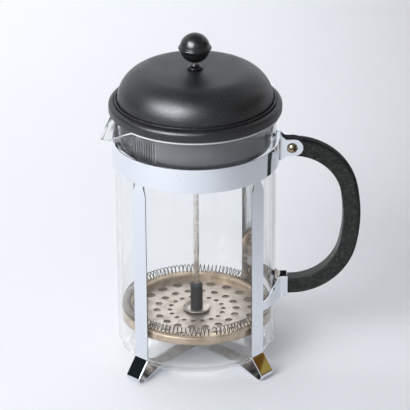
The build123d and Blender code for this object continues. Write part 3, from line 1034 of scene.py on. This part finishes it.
def makeCoil():
    c = coil
    length = 2 * math.pi * c["ringRadius"] * (1 - c["gap"] / 360)
    deselectAll()
    bpy.ops.mesh.primitive_circle_add(vertices=7, radius=c["wire"] * mm)
    piece = bpy.context.active_object
    piece.name = "springCoil"
    piece.data.name = "springCoil"
    bpy.ops.object.mode_set(mode="EDIT")
    bpy.ops.transform.translate(value=(0, -c["loop"] * mm, 0))
    bpy.ops.object.mode_set(mode="OBJECT")
    applyModifier(
        piece, "SCREW", axis="X", angle=2 * math.pi, screw_offset=length / c["turns"] * mm,
        iterations=c["turns"], steps=14, render_steps=14, use_merge_vertices=False,
    )
    # the loops lean a little this way and that
    random.seed(4)
    lean = [random.uniform(-1, 1) for k in range(c["turns"] + 2)]
    for vertex in piece.data.vertices:
        turn = min(max(vertex.co.x / mm / length * c["turns"], 0), c["turns"])
        k = int(turn)
        stray = lean[k] + (lean[k + 1] - lean[k]) * (turn - k)
        vertex.co.x += stray * c["stray"] * (vertex.co.z / mm / c["loop"]) * mm
    bpy.ops.curve.primitive_bezier_circle_add(radius=c["ringRadius"] * mm)
    ring = bpy.context.active_object
    ring.data.resolution_u = 64
    applyModifier(piece, "CURVE", object=ring, deform_axis="POS_X")
    bpy.data.objects.remove(ring)
    turn = Matrix.Rotation(math.radians(c["start"]), 4, "Z")
    piece.data.transform(Matrix.Translation((0, 0, c["height"] * mm)) @ turn)
    makeActive(piece)
    bpy.ops.object.mode_set(mode="EDIT")
    faceOutwards()
    bpy.ops.object.mode_set(mode="OBJECT")
    bpy.ops.object.shade_smooth()
    fit(piece, "spring_coil")


makeCoil()


# Frame: leg straps, clamp band, handle brackets
strap = {
    "width": 12.2,
    "neckWidth": 6.8,
    "thickness": 1.0,
    "leg": 59.4,
    "neck": 58.98,
    "neckTop": 166.2,
    "neckBottom": 155.2,
    "shoulder": 146.2,
    "knee": 16.3,
    "kneeBend": 4.0,
    "footCorner": (74.54, -2.84),
    "footBend": 3.0,
    "rest": (48.4, 6.0),
    "restBend": 6.0,
    "crossingRun": 8.0,
    "crossingSlope": 6.0,
    "crossingBend": 3.0,
    "turn": 45.0,
    "edge": 0.18,
}


def makeStrap(name, node, turn, dip):
    s = strap
    steps = [k / 6 for k in range(7)]
    levels = [s["neckBottom"] + (s["shoulder"] - s["neckBottom"]) * k for k in steps]
    half = [(s["neck"], s["neckTop"])]
    half += [(s["neck"] + (s["leg"] - s["neck"]) * k, z) for k, z in zip(steps, levels)]
    half += [(s["leg"], s["knee"], s["kneeBend"]), (*s["footCorner"], s["footBend"])]
    half += [(*s["rest"], s["restBend"])]
    if dip:
        run, rise, bend = s["crossingRun"], s["rest"][1], s["crossingBend"]
        half += [(run + s["crossingSlope"], rise, bend), (run, rise - dip, bend)]
    line = roundedLine(half + [(-c[0], *c[1:]) for c in reversed(half)])
    piece = drawChain(name, [Vector((x, -s["width"] / 2, z)) * mm for x, z in line])
    pull(y=s["width"])
    narrow = s["neckWidth"] / s["width"]
    for k, level in zip(steps, levels):
        ease = k * k * (3 - 2 * k)
        pick(piece, lambda co: abs(co.z - level) < 0.05)
        bpy.ops.transform.resize(value=(1, narrow + (1 - narrow) * ease, 1), center_override=(0, 0, 0))
    pick(piece, lambda co: co.z > s["neckTop"] - 0.05)
    bpy.ops.transform.resize(value=(1, narrow, 1), center_override=(0, 0, 0))
    faceOutwards()
    applyModifier(piece, "SOLIDIFY", thickness=s["thickness"] * mm, offset=0.0, use_even_offset=True)
    # the feet are flat where they stand
    pick(piece, lambda co: co.z < 0)
    bpy.ops.transform.resize(value=(1, 1, 0), center_override=(0, 0, 0))
    softenEdges(piece, s["edge"])
    fit(piece, node)
    piece.data.materials.append(strapInside)
    piece.data.materials.append(strapSideShade)
    for face in piece.data.polygons:
        outward = face.normal.x * math.copysign(1, face.center.x) - face.normal.z * 0.5
        # side faces above the knee take the darker material, painted shade
        cut = abs(face.normal.y) > 0.6 and face.center.z > s["knee"] * mm
        face.material_index = 2 if cut else int(outward < 0)
    piece.data.transform(Matrix.Rotation(math.radians(turn), 4, "Z"))


band = {
    "middle": 59.95,
    "thickness": 0.9,
    "centre": 164.2,
    "height": 18.0,
    "earMiddle": 5.05,
    "earEnd": 77.4,
    "earHeight": 12.6,
    "earTaper": 3.0,
    "bend": 2.5,
    "edge": 0.18,
}


def makeBand():
    b = band
    bendY = b["earMiddle"] + b["bend"]
    bendX = math.sqrt((b["middle"] + b["bend"]) ** 2 - bendY ** 2)
    leave = math.degrees(math.atan2(bendY, bendX))
    earRadius = b["earHeight"] / 2
    earStart = b["earEnd"] - earRadius
    turns = [math.radians(a) for a in (6, 18, 32, 48, 66, 90)]
    tip = [(earStart + earRadius * math.cos(turn), b["earMiddle"]) for turn in turns]
    side = tip + [(bendX + b["earTaper"], b["earMiddle"])]
    side += arc((bendX, bendY), b["bend"], -90, leave - 180, 6)
    ring = arc((0, 0), b["middle"], leave, 360 - leave, 144)[1:-1]
    line = side + ring + [(x, -y) for x, y in reversed(side)]
    low = b["centre"] - b["height"] / 2
    piece = drawChain("clampBand", [Vector((x, y, low)) * mm for x, y in line])
    pull(z=b["height"])
    for x, y in tip + [(bendX + b["earTaper"], 0)]:
        tall = math.sqrt(max(earRadius ** 2 - max(x - earStart, 0) ** 2, 0))
        pick(piece, lambda co: abs(co.x - x) < 0.01 and abs(co.y) < bendY)
        share = 2 * tall / b["height"]
        bpy.ops.transform.resize(value=(1, 1, share), center_override=(0, 0, b["centre"] * mm))
    faceOutwards()
    thicken(piece, b["thickness"], b["edge"])
    fit(piece, "clamp_band")


bracket = {
    "start": (41.40, -41.40),
    "elbow": (49.89, -32.92),
    "elbowBend": 15.0,
    "flare": (59.70, -9.0),
    "root": (61.28, -5.15),
    "rootBend": 2.0,
    "tip": (66.9, -5.15),
    "thickness": 0.7,
    "centre": 53.0,
    "plateHeight": 16.5,
    "legHeight": 7.2,
    "flareStart": 34.0,
    "flareEnd": 9.0,
    "edge": 0.15,
}


def makeBracket(name, node, side):
    b = bracket
    elbow, root = (*b["elbow"], b["elbowBend"]), (*b["root"], b["rootBend"])
    line = roundedLine([b["start"], elbow, b["flare"], root, b["tip"]])
    low = b["centre"] - b["plateHeight"] / 2
    piece = drawChain(name, [Vector((x, -side * y, low)) * mm for x, y in line])
    pull(z=b["plateHeight"])
    for x, y in line:
        share = (abs(y) - b["flareEnd"]) / (b["flareStart"] - b["flareEnd"])
        if share <= 0:
            continue
        tall = b["plateHeight"] + (b["legHeight"] - b["plateHeight"]) * min(share, 1)
        pick(piece, lambda co: abs(co.x - x) < 0.02 and abs(abs(co.y) - abs(y)) < 0.02)
        size = (1, 1, tall / b["plateHeight"])
        bpy.ops.transform.resize(value=size, center_override=(0, 0, b["centre"] * mm))
    faceOutwards()
    thicken(piece, b["thickness"], b["edge"])
    fit(piece, node)


makeStrap("legStrapUpper", "leg_strap_upper", strap["turn"], 0)
makeStrap("legStrapLower", "leg_strap_lower", -strap["turn"], strap["thickness"])
makeBand()
makeBracket("bracketFront", "bracket_front", -1)
makeBracket("bracketRear", "bracket_rear", 1)


# Handle
handle = {
    "path": [  # x and height, and the radius where it bends
        (63.0, 164.2),
        (106.5, 164.2, 43.0),
        (115.2, 106.0, 100.0),
        (104.5, 53.0, 42.0),
        (67.2, 53.0),
    ],
    "width": 11.0,
    "depth": 12.8,
    "outerEdge": 3.2,
    "innerEdge": 0.8,
    "spare": 6.0,
    "recessRadius": 7.0,
    "recessX": 71.1,
    "recessHeight": 164.2,
    "recessWidth": 9.2,
    "tongue": (61.2, 69.8),
    "tongueWidth": 9.6,
    "tongueHeight": 9.0,
    "tongueEdge": 0.5,
}


def offsetLine(line, shift):
    moved = []
    for k, (x, y) in enumerate(line):
        before, after = line[max(k - 1, 0)], line[min(k + 1, len(line) - 1)]
        along = Vector((after[0] - before[0], after[1] - before[1])).normalized()
        moved.append((x - along.y * shift, y + along.x * shift))
    return moved


def pushOutline(name, outline, width):
    # a closed outline in X and Z is filled and pushed to its width along Y
    piece = drawChain(name, [Vector((x, -width / 2, z)) * mm for x, z in outline + outline[:1]])
    bpy.ops.mesh.edge_face_add()
    pull(y=width)
    closeUp()
    return piece


def markInnerFace(piece, line):
    # how far a point lies to the inner side of the handle's middle line
    mark = piece.data.attributes.new("inner", "FLOAT", "POINT")
    limit = handle["innerEdge"] - handle["depth"] / 2 + 0.1
    runs = [(Vector(a), Vector(b)) for a, b in zip(line, line[1:])]
    for vertex in piece.data.vertices:
        spot = Vector((vertex.co.x, vertex.co.z)) / mm
        nearest = None
        for start, stop in runs:
            along = (stop - start).normalized()
            share = min(max((spot - start).dot(along), 0), (stop - start).length)
            away = spot - start - along * share
            if nearest is None or away.length < nearest[0]:
                nearest = (away.length, along.cross(away))
        mark.data[vertex.index].value = float(nearest[1] < limit)


def makeHandle():
    h = handle
    # the ends run on and are cut square once the long edges are rounded
    first, last = h["path"][0], h["path"][-1]
    longPath = [(first[0] - h["spare"], first[1]), *h["path"][1:-1], (last[0] - h["spare"], last[1])]
    line = roundedLine(longPath, stepAngle=4)
    outer, inner = offsetLine(line, h["depth"] / 2), offsetLine(line, -h["depth"] / 2)
    grip = pushOutline("handleGrip", outer + inner[::-1], h["width"])
    for run, radius in ((outer, h["outerEdge"]), (inner, h["innerEdge"])):
        spots = {(round(x, 1), round(z, 1)) for x, z in run}
        for side in (1, -1):

            def onEdge(co):
                return co.y * side > h["width"] / 2 - 0.1 and (round(co.x, 1), round(co.z, 1)) in spots

            pick(grip, onEdge)
            bpy.ops.mesh.bevel(offset=radius * mm, segments=5, affect="EDGES")
    middle = (first[1] + last[1]) / 2
    for end, above in ((first[0], True), (last[0], False)):
        pick(grip, lambda co: co.x < end - 0.5 and (co.z > middle) == above)
        bpy.ops.transform.resize(value=(0, 1, 1), center_override=(end * mm, 0, 0))
    bpy.ops.object.mode_set(mode="OBJECT")
    far = h["depth"]
    plate = [(h["recessX"], h["recessHeight"] + far), (0, h["recessHeight"] + far)]
    plate += [(0, h["recessHeight"] - far), (h["recessX"], h["recessHeight"] - far)]
    nose = arc((h["recessX"], h["recessHeight"]), h["recessRadius"], -90, 90, 20)
    for side in (1, -1):
        cutter = pushOutline("cutter", plate + nose, h["width"])
        cutter.data.transform(Matrix.Translation((0, side * (h["width"] + h["recessWidth"]) / 2 * mm, 0)))
        applyModifier(grip, "BOOLEAN", object=cutter, operation="DIFFERENCE", solver="EXACT")
        bpy.data.objects.remove(cutter)
    near, deep = h["tongue"]
    low, high = last[1] - h["tongueHeight"] / 2, last[1] + h["tongueHeight"] / 2
    tongue = pushOutline("tongue", [(near, low), (deep, low), (deep, high), (near, high)], h["tongueWidth"])
    softenEdges(tongue, h["tongueEdge"])
    makeActive(grip)
    tongue.select_set(True)
    bpy.ops.object.join()
    bpy.ops.object.shade_smooth_by_angle(angle=math.radians(35))
    markInnerFace(grip, line)
    fit(grip, "handle")


makeHandle()


# Nodes whose solids are right as they are
plainNodes = (
    "handle_screw",
    "handle_nut",
    "knob_insert",
    "spiral_plate",
    "mesh_disc",
    "cross_plate",
    "filter_nut",
)
for node in plainNodes:
    dress(frame["nodes"][node], node)
print("solids dressed")


# Floor, light and surroundings
stage = {
    "floorSize": 14.0,
    "floorRoughness": 0.7,
    "floorColour": (0.888, 0.905, 0.95),
    # the floor is painted darker to the right, a painted shadow
    "floorShadow": (0.66, 0.67, 0.705),
    "shadowStart": (0.05, 0.4),
    "shadowEnd": (1.1, 0.6),
    "farFloor": (0.80, 0.815, 0.85),
    "farStart": (0.8, 2.4),
    "aim": (0.0, 0.0, 0.12),
    "lamps": {  # place, size and power
        "keyLamp": ((-1.01, -0.98, 1.07), (1.5, 0.8), 17.5),
        "lowLamp": ((-1.08, -1.04, 0.92), (0.7, 0.7), 9.3),
        "leftLamp": ((-0.5, 0.9, 0.8), (1.0, 1.0), 5.8),
        "backLamp": ((0.1, 1.2, 0.9), (1.2, 1.0), 3.0),
    },
}


def aimLamp(name, place, size, power):
    bpy.ops.object.light_add(type="AREA", location=place)
    lamp = bpy.context.active_object
    lamp.name = name
    lamp.data.shape = "RECTANGLE"
    lamp.data.size, lamp.data.size_y = size
    lamp.data.energy = power
    lamp.visible_glossy = False  # metal and gloss show the room instead
    lamp.rotation_euler = (Vector(stage["aim"]) - Vector(place)).to_track_quat("-Z", "Y").to_euler()


def raysThatShow(f):
    # what the camera sees directly, in gloss or through glass
    return f.fade(f.ray("Is Camera Ray") + f.ray("Is Glossy Ray") + f.ray("Is Transmission Ray"), 0, 1)


def makeStage():
    deselectAll()
    bpy.ops.mesh.primitive_plane_add(size=stage["floorSize"])
    floor = bpy.context.active_object
    floor.name = "floor"
    f = newFinish("paleFloor")
    across = f.axis(0)
    # painted shadow: the floor's colour darkens towards the right
    right = f.fade(across, *stage["shadowStart"]) * f.fade(across, *stage["shadowEnd"])
    near = f.blend(right, stage["floorColour"], stage["floorShadow"])
    # far off, the floor is one pale ground
    shown = f.fade(f.length(f.coords()), *stage["farStart"]) * raysThatShow(f)
    f.set(
        BaseColor=f.blend(shown, near, (0, 0, 0)),
        Roughness=stage["floorRoughness"],
        EmissionColor=f.blend(shown, (0, 0, 0), stage["farFloor"]),
        EmissionStrength=1.0,
    )
    floor.data.materials.append(f.owner)
    for name, (place, size, power) in stage["lamps"].items():
        aimLamp(name, place, size, power)


studio = {  # pairs are where a tone starts and ends, along one axis of the view direction
    "fill": (0.93, 0.96, 1.0),
    "ambient": 0.25,
    "white": (0.95, 0.975, 1.03),
    "backdrop": 1.0,
    "front": 0.34,
    "frontToBack": (-0.5, 0.4),
    "zenith": 0.4,
    "zenithStart": (0.6, 0.9),
    "ceilingStart": (0.58, 0.64),
    "ceilingBars": 34.0,
    "ceilingBarEdge": (-0.2, 0.3),
    "ceilingShade": 0.75,
    "horizon": (0.02, 0.06),
    "dark": (0.02, 0.025, 0.03),
    "darkSide": (-0.76, -0.80),
    "darkTop": (0.60, 0.56),
    "brown": (0.16, 0.07, 0.012),
    "brownSide": (0.80, 0.84),
    "brownTop": (0.54, 0.50),
    "amber": (0.42, 0.31, 0.085),
    "amberFoot": (0.36, 0.37),
    "amberTop": (0.4497, 0.4472),
    "boxTurn": -137.0,
    "boxLift": 37.0,
    "boxHalfWidth": 0.35,
    "boxHalfHeight": 0.24,
    "boxEdge": 0.02,
    "boxAhead": (0.1, 0.2),
    "boxGlow": 25.0,
    "firstDepth": (2.6, 2.4),
}


def softBox(f, way):
    # a bright panel high at the front left, for reflections alone
    s = studio
    turn, lift = math.radians(s["boxTurn"]), math.radians(s["boxLift"])
    ahead = Vector((math.cos(turn) * math.cos(lift), math.sin(turn) * math.cos(lift), math.sin(lift)))
    across = Vector((-math.sin(turn), math.cos(turn), 0))

    def along(line):
        return f.node("VectorMath", {0: way, 1: line}, {"operation": "DOT_PRODUCT"}, out="Value")

    def inside(line, half):
        place = along(line)
        return f.fade(place * place, (half + s["boxEdge"]) ** 2, half ** 2)

    panel = inside(across, s["boxHalfWidth"]) * inside(ahead.cross(across), s["boxHalfHeight"])
    return panel * f.fade(along(ahead), *s["boxAhead"])


def makeWorld():
    # a pale studio: bright behind the object, dim behind the camera, dark at the left, brown at the right
    s = studio
    world = bpy.data.worlds.new("studio")
    bpy.context.scene.world = world
    f = Finish(world)
    way = f.node("TexCoord", out="Generated")
    x, y, z = (f.axis(k, way) for k in range(3))
    depth = f.fade(y, *s["frontToBack"], s["front"], s["backdrop"])
    room = depth * f.fade(z, *s["zenithStart"], 1.0, s["zenith"])
    bars = f.node("Math", {0: x * s["ceilingBars"]}, {"operation": "SINE"})
    ceiling = f.fade(z, *s["ceilingStart"]) * f.fade(bars, *s["ceilingBarEdge"])
    level = f.fade(z, *s["horizon"])
    dark = f.fade(x, *s["darkSide"]) * f.fade(z, *s["darkTop"]) * level
    brown = f.fade(x, *s["brownSide"]) * f.fade(z, *s["brownTop"]) * level
    amber = f.fade(z, *s["amberFoot"]) * f.fade(z, *s["amberTop"])
    warm = f.blend(amber, s["brown"], s["amber"])
    tinted = f.blend(brown, f.blend(dark, s["white"], s["dark"]), warm)
    shown = raysThatShow(f)
    through = f.ray("Is Transmission Ray")
    # the panel shows in first reflections only, and not through glass
    first = f.ray("Is Glossy Ray") * (1 - through) * f.fade(f.ray("Ray Depth"), *s["firstDepth"])
    glow = softBox(f, way) * first * s["boxGlow"]
    # what shows through glass is white all round
    around = f.fade(through, 0, 1, room * (1 - ceiling * s["ceilingShade"]), s["backdrop"])
    f.set(
        Color=f.blend(shown * (1 - through), s["fill"], tinted),
        Strength=shown * around + (1 - shown) * s["ambient"] + glow,
    )


makeStage()
makeWorld()
bpy.context.scene.view_settings.view_transform = "Standard"
print("stage set")

bpy.context.view_layer.update()
